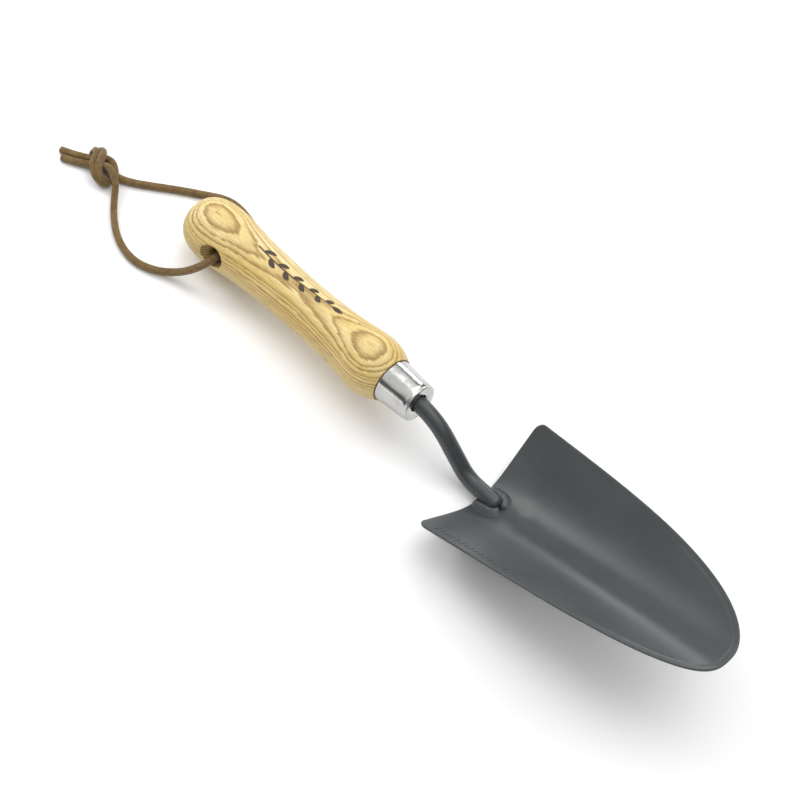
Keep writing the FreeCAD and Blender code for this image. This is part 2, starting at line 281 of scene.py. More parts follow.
def polished_steel(name):
    """Polished ferrule: turning lines round it, lengthwise scratches, grit and a wavy surface."""
    f = Finish(name)
    turned = f.mapped((900.0, 1.0, 1.0), (0, HANDLE_PITCH, 0))
    lines = f.noise(turned, 6.0, 4.0, 0.7)
    wave = f.noise(f.place, 130.0, 2.0)
    scratches = f.noise(f.mapped((60.0, 900.0, 900.0), (0.3, HANDLE_PITCH, 0.2)), 3.0, 3.0, 0.8)
    tone = f.mix(f.ramp(wave, [(0.3, 0.0), (0.7, 1.0)]), (0.47, 0.47, 0.455), (0.57, 0.57, 0.56))
    rough = f.ramp(scratches, [(0.3, 0.14), (0.72, 0.24)])
    small = f.bump(lines, 0.000006, 0.6)
    grit = f.bump(f.noise(f.place, 700.0, 3.0, 0.7), 0.00005, 0.5, small)
    large = f.bump(wave, 0.0004, 0.45, grit)
    return f.set(Base_Color=tone, Metallic=1.0, Roughness=rough, Normal=large)


def ash_wood(name, burnt=False, painted_shade=1.0):
    """Flat sawn ash: growth layers nearly level, porous early wood, fine fibres along the grain."""
    f = Finish(name)
    shift = Matrix.Rotation(HANDLE_PITCH, 3, "Y") @ -POMMEL_END
    along = f.mapped((1, 1, 1), (0, HANDLE_PITCH, 0), tuple(shift))
    drift = f.noise(f.mapped((7.0, 30.0, 30.0), source=along), 1.0, 2.0, 0.4)
    ripple = f.noise(f.mapped((40.0, 160.0, 160.0), source=along), 1.0, 2.0, 0.5)
    split = f.tree.nodes.new("ShaderNodeSeparateXYZ")
    f.feed(split.inputs[0], along)
    # The pith runs nearly along the handle, below its axis and a little to one side.
    tilt = f.math("MULTIPLY", split.outputs[0], PITH_TILT)
    down = f.math("ADD", f.math("ADD", split.outputs[2], tilt), PITH_BELOW)
    side = f.math("SUBTRACT", split.outputs[1], PITH_ASIDE)
    squares = f.math("ADD", f.math("MULTIPLY", down, down), f.math("MULTIPLY", side, side))
    radius = f.math("SQRT", squares)
    fibres = f.noise(f.mapped((90.0, 2600.0, 2600.0), source=along), 1.0, 3.0, 0.6)
    strands = f.noise(f.mapped((60.0, 1100.0, 1100.0), source=along), 1.0, 2.0, 0.6)
    wobble = f.math("ADD", f.math("MULTIPLY", drift, 0.0040), f.math("MULTIPLY", ripple, 0.0011))
    # Fibres make the layers' edges ragged along the grain.
    ragged = f.math("MULTIPLY", f.math("ADD", fibres, strands), 0.0007)
    wobble = f.math("ADD", wobble, ragged)
    layers = f.math("DIVIDE", f.math("ADD", radius, wobble), RING_SPACING)
    jitter = f.noise(f.node("CombineXYZ", {0: layers, 1: 0.0, 2: 0.0}), 0.9, 1.0)
    phase = f.math("FRACT", f.math("ADD", layers, f.math("MULTIPLY", jitter, 1.1)))
    early = f.ramp(phase, EARLY_SHARE)
    pores = f.noise(f.mapped((260.0, 3800.0, 3800.0), source=along), 1.0, 2.0, 0.7)
    pits = f.ramp(pores, [(0.0, 0.0), (0.53, 0.0), (0.63, 1.0)])
    patches = f.noise(f.mapped((16.0, 60.0, 60.0), source=along), 1.0, 2.0)
    pale = f.mix(f.ramp(patches, [(0.35, 0.0), (0.68, 1.0)]), PALE_WOOD, WARM_WOOD)
    banded = f.mix(f.math("MULTIPLY", early, 0.88), pale, EARLY_WOOD)
    streaks = f.math("MULTIPLY", f.ramp(fibres, [(0.40, 0.0), (0.66, 1.0)]), 0.48)
    streaked = f.mix(streaks, banded, EARLY_WOOD)
    pitted_at = f.math("MULTIPLY", pits, f.math("ADD", f.math("MULTIPLY", early, 0.75), 0.08))
    color = f.mix(pitted_at, streaked, PORE_WOOD)
    # Painted shade: a factor below 1 darkens the wood, for the faces inside the hole, bore and
    # ferrule.
    if painted_shade != 1.0:
        color = f.mix(1.0, color, (painted_shade, painted_shade ** 1.15, painted_shade ** 1.4), "MULTIPLY")
    rough = f.ramp(fibres, [(0.3, 0.36), (0.75, 0.5)])
    if burnt:
        char = f.noise(f.mapped((500.0, 1600.0, 1600.0), source=along), 1.0, 3.0, 0.7)
        scorch = f.ramp(char, [(0.3, 0.0), (0.7, 1.0)])
        color = f.mix(scorch, CHAR_DARK, CHAR_PALE)
        rough = f.ramp(scorch, [(0.0, 0.6), (1.0, 0.8)])
    height = f.math("SUBTRACT", f.math("MULTIPLY", fibres, 0.25), f.math("MULTIPLY", pitted_at, 0.8))
    grain = f.bump(height, 0.00008, 0.6)
    return f.set(Base_Color=color, Roughness=rough, Normal=grain, Specular_IOR_Level=0.45)


def suede(name):
    """Brown suede lace: mottled nap, a paler rubbed surface, fine fibres."""
    f = Finish(name)
    mottle = f.noise(f.place, 420.0, 4.0, 0.7)
    nap = f.noise(f.place, 3400.0, 3.0, 0.75)
    blotch = f.noise(f.place, 110.0, 2.0)
    blotched = f.math("MULTIPLY", f.ramp(blotch, [(0.4, 0.0), (0.7, 1.0)]), 0.35)
    shaded = f.math("MULTIPLY", f.ramp(nap, [(0.35, 1.0), (0.55, 0.0)]), 0.45)
    color = f.mix(blotched, f.ramp(mottle, SUEDE_TONES), SUEDE_BLOTCH)
    color = f.mix(shaded, color, SUEDE_SHADE)
    coarse = f.bump(mottle, 0.00022, 0.6)
    fine = f.bump(nap, 0.00012, 0.6, coarse)
    f.set(Sheen_Weight=0.25, Sheen_Roughness=0.5, Specular_IOR_Level=0.25)
    return f.set(Base_Color=color, Roughness=0.92, Normal=fine)


def cured_epoxy(name):
    """Amber epoxy, faintly clouded."""
    f = Finish(name)
    cloud = f.noise(f.place, 300.0, 3.0)
    color = f.ramp(cloud, [(0.3, (0.42, 0.36, 0.22)), (0.7, (0.5, 0.44, 0.28))])
    return f.set(Base_Color=color, Roughness=0.35, Normal=f.bump(cloud, 0.0001, 0.4))


# ---- lanyard -------------------------------------------------------------------------------
# The lace's centre line in millimetres, from the middle of the hanging hole, round the loop,
# through the knot and out to the cut end.
NEAR_LACE = [
    (-137.3, 0.0, 16.7),
    (-137.4, -5.6, 17.7),
    (-137.5, -11.3, 18.5),
    (-138.8, -18.4, 16.7),
    (-144.3, -22.6, 10.2),
    (-150.6, -26.4, 5.0),
    (-159.2, -31.7, 2.1),
    (-169.0, -35.7, 1.9),
    (-179.6, -35.3, 1.9),
    (-189.5, -31.7, 1.9),
    (-198.9, -25.5, 1.9),
    (-205.9, -19.3, 2.7),
    (-208.3, -16.5, 4.5),
    (-211.5, -13.7, 7.0),
    (-218.6, -11.5, 8.6),
    (-223.2, -12.5, 6.2),
    (-227.4, -12.3, 3.3),
    (-231.7, -10.6, 2.5),
    (-233.4, -7.8, 3.1),
    (-231.1, -6.6, 6.4),
    (-226.9, -8.3, 9.0),
    (-223.0, -15.1, 9.0),
    (-219.3, -17.8, 6.5),
    (-216.0, -17.1, 4.2),
    (-215.0, -13.7, 2.5),
    (-217.4, -8.9, 2.7),
    (-222.8, -6.1, 3.8),
    (-227.3, -7.0, 3.6),
    (-229.8, -9.9, 2.5),
    (-231.3, -12.3, 3.5),
    (-237.2, -15.7, 3.0),
    (-242.4, -18.0, 2.1),
    (-247.4, -20.0, 1.9),
]
FAR_LACE = [
    (-137.3, 0.0, 16.7),
    (-137.1, 8.6, 14.2),
    (-138.2, 16.7, 10.7),
    (-143.5, 18.8, 6.6),
    (-151.8, 21.8, 4.0),
    (-162.0, 24.0, 2.5),
    (-171.0, 22.4, 1.9),
    (-179.5, 16.0, 1.9),
    (-188.4, 9.6, 1.9),
    (-197.4, 2.3, 1.9),
    (-205.6, -4.3, 1.9),
    (-209.3, -6.7, 1.9),
    (-213.2, -9.1, 2.2),
    (-218.4, -11.2, 3.1),
    (-223.1, -11.9, 3.1),
    (-226.7, -13.2, 2.3),
    (-231.2, -12.9, 2.1),
    (-234.8, -9.9, 2.7),
    (-233.2, -8.6, 6.2),
    (-229.8, -10.6, 8.2),
    (-226.6, -15.9, 7.4),
    (-222.5, -18.6, 5.9),
    (-218.3, -19.0, 4.2),
    (-215.2, -17.3, 2.5),
    (-216.5, -12.9, 2.0),
    (-220.7, -9.1, 2.3),
    (-225.4, -9.1, 2.3),
    (-227.4, -11.8, 2.1),
    (-228.9, -14.4, 2.9),
    (-234.4, -18.0, 2.2),
    (-239.1, -20.6, 1.9),
    (-243.2, -22.7, 1.9),
]
LACE_HALF = 1.72 * MM
LACE_AROUND = 20
LACE_SQUARENESS = 3.4
LACE_UNEVEN = 0.02
# How fast the section turns level where the lace isn't steep.
LACE_LEVELLING = 0.12
LACE_STEEP = 0.6


def lace_section(turn):
    """A square section with well rounded corners, as (across, up) shares of the half width."""
    power = 2 / LACE_SQUARENESS
    across = math.copysign(abs(math.cos(turn)) ** power, math.cos(turn))
    up = math.copysign(abs(math.sin(turn)) ** power, math.sin(turn))
    return across, up


def make_lace(name, route, material):
    """A lace along the route, closed at both ends, and the points that its middle follows."""
    line = nurbs_line([Vector(p) * MM for p in route], 3, 10)
    up = Vector((0, 0, 1))
    centres, scales, frames = [], [], []
    for i, point in enumerate(line):
        ahead = line[min(i + 1, len(line) - 1)] - line[max(i - 1, 0)]
        ahead.normalize()
        # Carried along the line without twist, and turned back level where the lace lies.
        up = up - ahead * up.dot(ahead)
        up.normalize()
        level = Vector((0, 0, 1)) - ahead * ahead.z
        up = up + level * (LACE_LEVELLING if abs(ahead.z) < LACE_STEEP else 0.0)
        up.normalize()
        across = ahead.cross(up)
        centres.append(point)
        frames.append((across, up))
        scales.append(1 + random.uniform(-LACE_UNEVEN, LACE_UNEVEN))
    points = []
    count = len(centres)
    # The cut ends are slightly pinched.
    ends = {0: 0.90, 1: 0.98, count - 2: 0.99, count - 1: 0.88}
    for i, (point, (across, up)) in enumerate(zip(centres, frames)):
        size = LACE_HALF * scales[i] * ends.get(i, 1.0)
        for j in range(LACE_AROUND):
            a, b = lace_section(2 * math.pi * j / LACE_AROUND)
            points.append(point + across * (a * size) + up * (b * size))
    faces = ring_faces(count, LACE_AROUND)
    for first, inward, place in ((0, 1, centres[0]), ((count - 1) * LACE_AROUND, -1, centres[-1])):
        middle = len(points)
        points.append(place)
        for j in range(LACE_AROUND):
            faces.append((first + j, first + (j + 1) % LACE_AROUND, middle)[::inward])
    return mesh_object(name, points, faces, [material], 50), line


# ---- blade ---------------------------------------------------------------------------------
# Millimetres in the blade frame: x from the rear edge to the tip, z square to the trough's bottom.
HEEL_X = 31.8
BLADE_RISE = math.radians(20.7)
BLADE_LENGTH = 143.3
BLADE_HALF_WIDTH = 39.2
BLADE_DEPTH = 19.4
BLADE_DEPTH_LOSS = 0.08
KEEL_FLAT = 1.2
KEEL_EASING = 3.0
KEEL_ROUNDING = 11.0
KEEL_DROP = 2.2
SHEET = 1.5
SIDE_TAPER = 0.28
TIP_SQUARENESS = 4.17
TIP_FULLNESS = 2.54
CORNER_FORWARD = 3.2
CORNER_RADIUS = 4.5
# The rim is coined lower round the front, from RIM_REAR on and fully after RIM_FADE more.
RIM_DROP = 0.20
RIM_WIDTH = 2.95
RIM_WALL = 0.75
RIM_REAR = 84
RIM_FADE = 26
# The mesh has a ring of points at each of these distances from the outline, then rings at shares
# of the way from the last of them to a line down the middle.
INSETS = [0.0, 0.12, 0.35, 0.8, 1.5, 2.2, 2.7, RIM_WIDTH, 3.3]
INNER_RINGS = 46
INNER_CROWDING = 1.15
MIDDLE_REAR = 22.0
MIDDLE_FRONT = 112.0
# How far the edges are rounded off at the first insets, above and below.
EDGE_ABOVE = {0.0: 0.36, 0.12: 0.13}
EDGE_BELOW = {0.0: 0.28, 0.12: 0.1}
# Steps along the exact outline, and the even steps that the mesh takes along it.
REAR_STEPS = 60
CORNER_STEPS = 40
SIDE_STEPS = 400
SIDE_GAP = 0.3
OUTLINE_STEPS = 200
# A press mark ahead of the foot: a dimple and the low ring round it.
DIMPLE_X = 22.5
DIMPLE_LONG = 4.2
DIMPLE_WIDE = 4.8
DIMPLE_DEPTH = 0.32
DIMPLE_RING = 7.5
DIMPLE_RING_WIDE = 2.6
DIMPLE_RING_RISE = 0.10
DIMPLE_RING_REAR = 16
DIMPLE_RING_FAINT = 0.4


def side_rise(y):
    """The narrow flat runs into the sides without a visible break."""
    past_flat = (math.hypot(y - KEEL_FLAT, KEEL_EASING) + math.hypot(y + KEEL_FLAT, KEEL_EASING)) / 2
    past_flat -= math.hypot(KEEL_FLAT, KEEL_EASING)
    return math.hypot(past_flat, KEEL_ROUNDING) - KEEL_ROUNDING


def hollow_height(x, y):
    """Height of the hollow side."""
    along = max(x, 0.0) / BLADE_LENGTH
    depth = BLADE_DEPTH * (1 - BLADE_DEPTH_LOSS * along)
    return depth * side_rise(y) / side_rise(BLADE_HALF_WIDTH) - KEEL_DROP * along ** 3


def slope_factor(x, y):
    """Upright thickness of the sheet over its real thickness."""
    step = 0.2
    dx = (hollow_height(x + step, y) - hollow_height(x - step, y)) / (2 * step)
    dy = (hollow_height(x, y + step) - hollow_height(x, y - step)) / (2 * step)
    return math.sqrt(1 + dx * dx + dy * dy)


def on_blade(x, y, z):
    """Blade frame in millimetres to the row frame in metres."""
    c, s = math.cos(BLADE_RISE), math.sin(BLADE_RISE)
    return Vector((HEEL_X + x * c - z * s, y, SHEET * c + x * s + z * c)) * MM


def half_outline():
    """From the middle of the rear edge round the left corner to the tip."""
    bow = (BLADE_HALF_WIDTH ** 2 + CORNER_FORWARD ** 2) / (2 * CORNER_FORWARD)
    reach = bow - CORNER_RADIUS
    lean = math.atan(SIDE_TAPER * BLADE_HALF_WIDTH / (BLADE_LENGTH - CORNER_FORWARD))
    centre_y = BLADE_HALF_WIDTH - CORNER_RADIUS
    # The corner's centre, where its arc touches both the rear edge and the side.
    for _ in range(20):
        centre_x = bow - math.sqrt(reach ** 2 - centre_y ** 2)
        side = BLADE_HALF_WIDTH - (centre_x - CORNER_FORWARD) * math.tan(lean)
        centre_y = side - CORNER_RADIUS / math.cos(lean)
    rear_angle = math.atan2(centre_y, bow - centre_x)
    points = []
    for i in range(REAR_STEPS):
        turn = rear_angle * i / REAR_STEPS
        points.append(Vector((bow - bow * math.cos(turn), bow * math.sin(turn))))
    first = math.pi - rear_angle
    last = math.pi / 2 - lean
    for i in range(CORNER_STEPS + 1):
        turn = first + (last - first) * i / CORNER_STEPS
        x = centre_x + CORNER_RADIUS * math.cos(turn)
        points.append(Vector((x, centre_y + CORNER_RADIUS * math.sin(turn))))
    past = points[-1].x
    for i in range(1, SIDE_STEPS + 1):
        turn = math.pi / 2 * (i / SIDE_STEPS) ** 2
        along = math.sin(turn) ** (2 / TIP_SQUARENESS)
        fullness = max(math.cos(turn), 0) ** (2 / TIP_FULLNESS)
        x = CORNER_FORWARD + (BLADE_LENGTH - CORNER_FORWARD) * along
        if x > past + SIDE_GAP:
            points.append(Vector((x, BLADE_HALF_WIDTH * (1 - SIDE_TAPER * along) * fullness)))
    return points


def evenly(points, count):
    """count + 1 points at equal steps along a line of points."""
    lengths = [0.0]
    for a, b in zip(points, points[1:]):
        lengths.append(lengths[-1] + (b - a).length)
    result = []
    k = 0
    for i in range(count + 1):
        target = lengths[-1] * i / count
        while k < len(points) - 2 and lengths[k + 1] < target:
            k += 1
        share = (target - lengths[k]) / (lengths[k + 1] - lengths[k])
        result.append(points[k].lerp(points[k + 1], min(max(share, 0), 1)))
    return result


def dent(x, y):
    """Height of the press mark on the hollow side. Its ring is weaker beside the foot."""
    dimple = math.exp(-((x - DIMPLE_X) / DIMPLE_LONG) ** 2 - (y / DIMPLE_WIDE) ** 2)
    ring = math.exp(-((math.hypot(x - DIMPLE_X, y) - DIMPLE_RING) / DIMPLE_RING_WIDE) ** 2)
    ring *= 1 if x > DIMPLE_RING_REAR else DIMPLE_RING_FAINT
    return DIMPLE_RING_RISE * ring - DIMPLE_DEPTH * dimple


def coined(x, depth):
    """How far the rim is lowered at x, this far in from the outline."""
    if depth >= RIM_WIDTH:
        return 0.0
    amount = min(max((x - RIM_REAR) / RIM_FADE, 0), 1)
    wall = min((RIM_WIDTH - depth) / RIM_WALL, 1.0)
    return RIM_DROP * amount * wall * (0.75 + 0.25 * (1 - depth / RIM_WIDTH))


def make_blade(material, shaded_edge_material):
    """The pressed sheet: rings of points inward from its outline, above and below, and its edge. The
    edge faces get a darker copy of the coating as painted shade.
    """
    half = evenly(half_outline(), OUTLINE_STEPS)
    outline = half + [Vector((p.x, -p.y)) for p in reversed(half[1:-1])]
    count = len(outline)
    inward = []
    for i in range(count):
        edge = outline[(i + 1) % count] - outline[i - 1]
        normal = Vector((edge.y, -edge.x)).normalized()
        toward = Vector((70.0, 0.0)) - outline[i]
        inward.append(normal if normal.dot(toward) > 0 else -normal)
    rings = [[p + normal * inset for p, normal in zip(outline, inward)] for inset in INSETS]
    rim = rings[-1]
    for k in range(1, INNER_RINGS + 1):
        share = 1 - (k / INNER_RINGS) ** INNER_CROWDING
        middles = [Vector((min(max(p.x, MIDDLE_REAR), MIDDLE_FRONT), 0.0)) for p in rim]
        rings.append([middle.lerp(p, share) for middle, p in zip(middles, rim)])
    depths = INSETS + [math.inf] * INNER_RINGS

    points, under = [], []
    for ring, depth in zip(rings, depths):
        for p in ring:
            surface = hollow_height(p.x, p.y)
            above = surface + dent(p.x, p.y) - (coined(p.x, depth) + EDGE_ABOVE.get(depth, 0.0))
            below = surface - SHEET * slope_factor(p.x, p.y) + EDGE_BELOW.get(depth, 0.0)
            points.append(on_blade(p.x, p.y, above))
            under.append(on_blade(p.x, p.y, below))
    faces = ring_faces(len(rings), count)
    offset = len(points)
    faces += [tuple(offset + k for k in reversed(face)) for face in ring_faces(len(rings), count)]
    for j in range(count):
        k = (j + 1) % count
        faces.append((j, offset + j, offset + k, k))
    first_edge = len(faces) - count
    materials = [material, shaded_edge_material]
    return mesh_object("blade_pressing", points + under, faces, materials, 62, first_edge)


TICK_HALF_WIDTH = 0.42
TICK_RISE = 0.28
TICK_SINK = 0.02
TICK_BODY = 0.25
TICK_STEPS = 10
TICK_AROUND = 9


def make_tick(name, x, y, length, lean, material):
    """One raised bar of the generic row of marks: a low dome that follows the blade."""
    direction = Vector((math.cos(lean), math.sin(lean)))
    sideways = Vector((-direction.y, direction.x))
    points = []
    steps, around = TICK_STEPS, TICK_AROUND
    for i in range(steps + 1):
        u = i / steps
        width = TICK_HALF_WIDTH * math.sqrt(max(1 - (2 * u - 1) ** 4, 0.02))
        for j in range(around):
            v = 2 * j / (around - 1) - 1
            p = Vector((x, y)) + direction * (length * (u - 0.5)) + sideways * (width * v)
            rise = TICK_RISE * math.sqrt(max(1 - v * v, 0)) * math.sqrt(max(1 - (2 * u - 1) ** 6, 0))
            points.append(on_blade(p.x, p.y, hollow_height(p.x, p.y) + rise - TICK_SINK))
    base = len(points)
    for i in range(steps + 1):
        for j in range(around):
            points.append(points[i * around + j] - Vector((0, 0, TICK_BODY * MM)))
    faces = []
    for i in range(steps):
        for j in range(around - 1):
            a = i * around + j
            faces.append((a, a + 1, a + around + 1, a + around))
            faces.append((base + a, base + a + around, base + a + around + 1, base + a + 1))
    border = list(range(around))
    border += [i * around + around - 1 for i in range(1, steps + 1)]
    border += [steps * around + j for j in range(around - 2, -1, -1)]
    border += [i * around for i in range(steps - 1, 0, -1)]
    for a, b in zip(border, border[1:] + border[:1]):
        faces.append((a, base + a, base + b, b))
    return mesh_object(name, points, faces, [material], 60)


# ---- welds ---------------------------------------------------------------------------------
# Height over half width, how flatly the fillet runs out into the sheet, and its depth below it.
BEAD_HEIGHT = 0.74
BEAD_RUN_OUT = 2.6
BEAD_SINK = 0.5
BEAD_OFFSET = 0.04
BEAD_LAG = 0.28
BEAD_AROUND = 22


def make_bead(name, route, radii, ripple, pitch, material):
    """A low weld fillet along a route over the blade, crossed by the ripples of the pool."""
    line = nurbs_line([Vector(p) for p in route], 3, 24)
    around = BEAD_AROUND
    travelled = 0.0
    total = sum((b - a).length for a, b in zip(line, line[1:]))
    points = []
    for i, point in enumerate(line):
        if i:
            travelled += (point - line[i - 1]).length
        ahead = (line[min(i + 1, len(line) - 1)] - line[max(i - 1, 0)]).normalized()
        share = travelled / total
        position = share * (len(radii) - 1)
        k = min(int(position), len(radii) - 2)
        radius = radii[k] + (radii[k + 1] - radii[k]) * (position - k)
        scallop = abs(math.sin(math.pi * travelled / pitch + 0.5 * math.sin(travelled * 1.7)))
        radius *= 1 + ripple * (scallop - 0.6)
        radius *= math.sqrt(max(1 - (2 * share - 1) ** 10, 0.03))
        across = ahead.cross(Vector((0, 0, 1))).normalized()
        for j in range(around):
            turn = 2 * math.pi * j / around
            # The scallops trail back at the bead's sides, as a moving pool leaves them.
            lag = ahead * (-BEAD_LAG * radius * abs(math.cos(turn)))
            p = point + lag + across * (radius * math.cos(turn))
            if math.sin(turn) > 0:
                rise = radius * BEAD_HEIGHT * math.sin(turn) ** BEAD_RUN_OUT
            else:
                rise = BEAD_SINK * math.sin(turn)
            points.append(on_blade(p.x, p.y, hollow_height(p.x, p.y) + rise - BEAD_OFFSET))
    faces = ring_faces(len(line), around)
    for first, place in ((0, line[0]), ((len(line) - 1) * around, line[-1])):
        middle = len(points)
        points.append(on_blade(place.x, place.y, hollow_height(place.x, place.y)))
        for j in range(around):
            faces.append((first + j, first + (j + 1) % around, middle))
    return mesh_object(name, points, faces, [material], 75)


# ---- handle and ferrule --------------------------------------------------------------------
HANDLE_LENGTH = 136.7
HANDLE_OUTLINE = [
    (0.0, 0.0),
    (0.0, 8.0),
    (4.2, 12.9),
    (11.4, 15.5),
    (23.2, 16.0),
    (39.2, 13.5),
    (57.0, 12.8),
    (78.0, 11.9),
    (99.0, 12.7),
    (114.0, 13.9),
    (125.0, 16.0),
    (132.5, 13.9),
    (136.7, 11.5),
]
TENON = [(136.75, 11.2), (136.8, 9.98), (151.7, 8.9), (151.7, 4.35), (72.7, 4.35), (72.7, 0.0)]
HOLE_STATION = 28.9
HOLE_ROLL = math.radians(14)
# Distance from the hole's middle along it, and its radius there.
HOLE_FLARE = [
    (11.6, 4.0),
    (12.3, 4.15),
    (13.0, 4.6),
    (13.7, 5.25),
    (14.3, 6.0),
    (14.9, 6.9),
    (15.4, 7.9),
    (19.0, 16.0),
]
# Which of the handle's faces belong to the hole and to the bore for the tang. These faces get the wood
# darkened as painted shade.
HOLE_REACH = 10.0
HOLE_DEPTH = 0.12
BORE_REAR = 60
BORE_REACH = 4.4
# Distance ahead of the handle's shoulder, and radius.
FERRULE_OUTLINE = [
    (0.05, 10.05),
    (0.03, 10.6),
    (0.12, 10.8),
    (0.35, 10.88),
    (0.9, 10.84),
    (3.0, 10.69),
    (7.0, 10.42),
    (11.0, 10.13),
    (15.0, 9.84),
    (16.7, 9.72),
    (16.9, 9.54),
    (17.1, 9.46),
    (17.3, 9.56),
    (17.7, 9.62),
    (18.05, 9.45),
    (18.28, 9.18),
    (18.38, 8.85),
    (18.38, 8.4),
    (18.34, 7.2),
    (18.26, 6.0),
    (18.1, 5.2),
    (17.85, 4.72),
    (17.5, 4.55),
    (17.1, 4.7),
    (16.95, 7.9),
    (16.3, 8.75),
    (0.05, 10.05),
]


def to_handle(point):
    """Handle frame, millimetres from the pommel end along the axis, to the row frame in metres."""
    turn = Matrix.Rotation(-HANDLE_PITCH, 3, "Y")
    return turn @ (Vector(point) * MM) + POMMEL_END


def handle_profile():
    """(station, radius) points along the turned outside, without the tenon."""
    line = nurbs_line([Vector((a, b, 0)) for a, b in HANDLE_OUTLINE], 4, 14)
    return [(p.x, p.y) for p in line]


def radius_at(profile, station):
    """The handle's radius at a station, measured from the pommel end."""
    for (a, ra), (b, rb) in zip(profile, profile[1:]):
        if a <= station <= b and b > a:
            return ra + (rb - ra) * (station - a) / (b - a)
    return profile[-1][1]


def hole_cutter():
    """The hanging hole with a widened mouth on each side."""
    far = HOLE_FLARE[-1][0]
    profile = [(-far, 0.0)] + [(-a, r) for a, r in reversed(HOLE_FLARE)] + HOLE_FLARE + [(far, 0.0)]
    points, faces = lathe(profile, 72)
    direction = Vector((0, -math.cos(HOLE_ROLL), math.sin(HOLE_ROLL)))
    turn = Vector((1, 0, 0)).rotation_difference(direction).to_matrix()
    placed = [to_handle(turn @ p + Vector((HOLE_STATION, 0, 0))) for p in points]
    return mesh_object("hole_cutter", placed, faces, [])


def make_handle(profile, wood, painted_shade_wood):
    """The turned handle with its tenon, bore and hanging hole. Faces in the hole, in the bore and
    under the ferrule get a second wood, darkened as painted shade.
    """
    outline = profile + TENON
    points, faces = lathe(outline, 168)
    piece = mesh_object("ash_handle", [to_handle(p) for p in points], faces, [wood, painted_shade_wood], 38)
    cutter = hole_cutter()
    cut = piece.modifiers.new("hanging_hole", "BOOLEAN")
    cut.operation = "DIFFERENCE"
    cut.solver = "EXACT"
    cut.object = cutter
    view = bpy.context.evaluated_depsgraph_get()
    mesh = bpy.data.meshes.new_from_object(piece.evaluated_get(view))
    piece.modifiers.clear()
    old = piece.data
    piece.data = mesh
    bpy.data.meshes.remove(old)
    bpy.data.objects.remove(cutter)
    back = Matrix.Rotation(HANDLE_PITCH, 3, "Y")
    for polygon in mesh.polygons:
        centre = back @ (polygon.center - POMMEL_END) / MM
        across = math.hypot(centre.y, centre.z)
        near_hole = abs(centre.x - HOLE_STATION) < HOLE_REACH
        in_hole = near_hole and radius_at(profile, centre.x) - across > HOLE_DEPTH
        in_ferrule = centre.x > HANDLE_LENGTH + 0.02
        in_bore = centre.x >= BORE_REAR and across < BORE_REACH
        # Hole, bore and tenon faces under the ferrule take the second wood, which is painted shade in
        # these recesses.
        polygon.material_index = 1 if in_hole or in_ferrule or in_bore else 0
    finish_mesh(mesh, 38)
    return piece


def make_ferrule(material):
    """A tapered sleeve with a closed, rolled front edge and a mouth round the bar."""
    outline = [(HANDLE_LENGTH + ahead, radius) for ahead, radius in FERRULE_OUTLINE]
    points, faces = lathe(outline, 144)
    points = [to_handle(p) for p in points]
    return mesh_object("ferrule_sleeve", points, faces, [material], 50)


# ---- burnt sprig on the handle -------------------------------------------------------------
# Stations and lengths are millimetres along the handle.
SPRIG_ROLL = math.radians(-8)
STEM_REAR = 45
STEM_LENGTH = 50
STEM_STEPS = 60
STEM_BOW = 1.1
STEM_HALF_WIDTH = 0.42
STEM_TAPER = 0.2
LEAVES = 9
LEAF_STEPS = 16
FIRST_LEAF = 49
LEAF_SPACING = 5.1
LEAF_LENGTH = 6.4
LEAF_SHORTENING = 0.25
LEAF_HALF_WIDTH = 1.28
END_LEAF_REAR = 94.5
END_LEAF_LENGTH = 6.5
END_LEAF_HALF_WIDTH = 1.3
PATCH_RISE = 0.03
PATCH_DEPTH = -0.2
PATCH_EDGE_DROP = 0.012
PATCH_ACROSS = 4


def leaf_width(u, widest):
    """Half width of a leaf at a share u of its length."""
    return widest * math.sin(math.pi * min(u * 0.97 + 0.03, 1)) ** 0.8 + 0.06


def stem_bend(station):
    return STEM_BOW * math.sin((station - 43) / 58 * math.pi * 1.6)


def burnt_patch(profile, middle_line, widths):
    """A thin closed patch on the handle. Points are (station, distance round the handle)."""
    across = PATCH_ACROSS
    points = []
    for layer_rise in (PATCH_RISE, PATCH_DEPTH):
        for i, (station, round_by) in enumerate(middle_line):
            before = middle_line[max(i - 1, 0)]
            after = middle_line[min(i + 1, len(middle_line) - 1)]
            ahead = Vector((after[0] - before[0], after[1] - before[1])).normalized()
            for j in range(across + 1):
                v = 2 * j / across - 1
                s = station - ahead.y * widths[i] * v
                w = round_by + ahead.x * widths[i] * v
                radius = radius_at(profile, s)
                turn = SPRIG_ROLL + w / radius
                at_edge = abs(v) == 1 and layer_rise > 0
                rise = radius + layer_rise - (PATCH_EDGE_DROP if at_edge else 0)
                points.append(to_handle((s, -rise * math.sin(turn), rise * math.cos(turn))))
    row = across + 1
    base = len(middle_line) * row
    faces = []
    for i in range(len(middle_line) - 1):
        for j in range(across):
            a = i * row + j
            faces.append((a, a + 1, a + row + 1, a + row))
            faces.append((base + a, base + a + row, base + a + row + 1, base + a + 1))
        for a in (i * row, i * row + across):
            faces.append((a, a + row, base + a + row, base + a))
    for i in (0, len(middle_line) - 1):
        for j in range(across):
            a = i * row + j
            faces.append((a, a + 1, base + a + 1, base + a))
    return points, faces


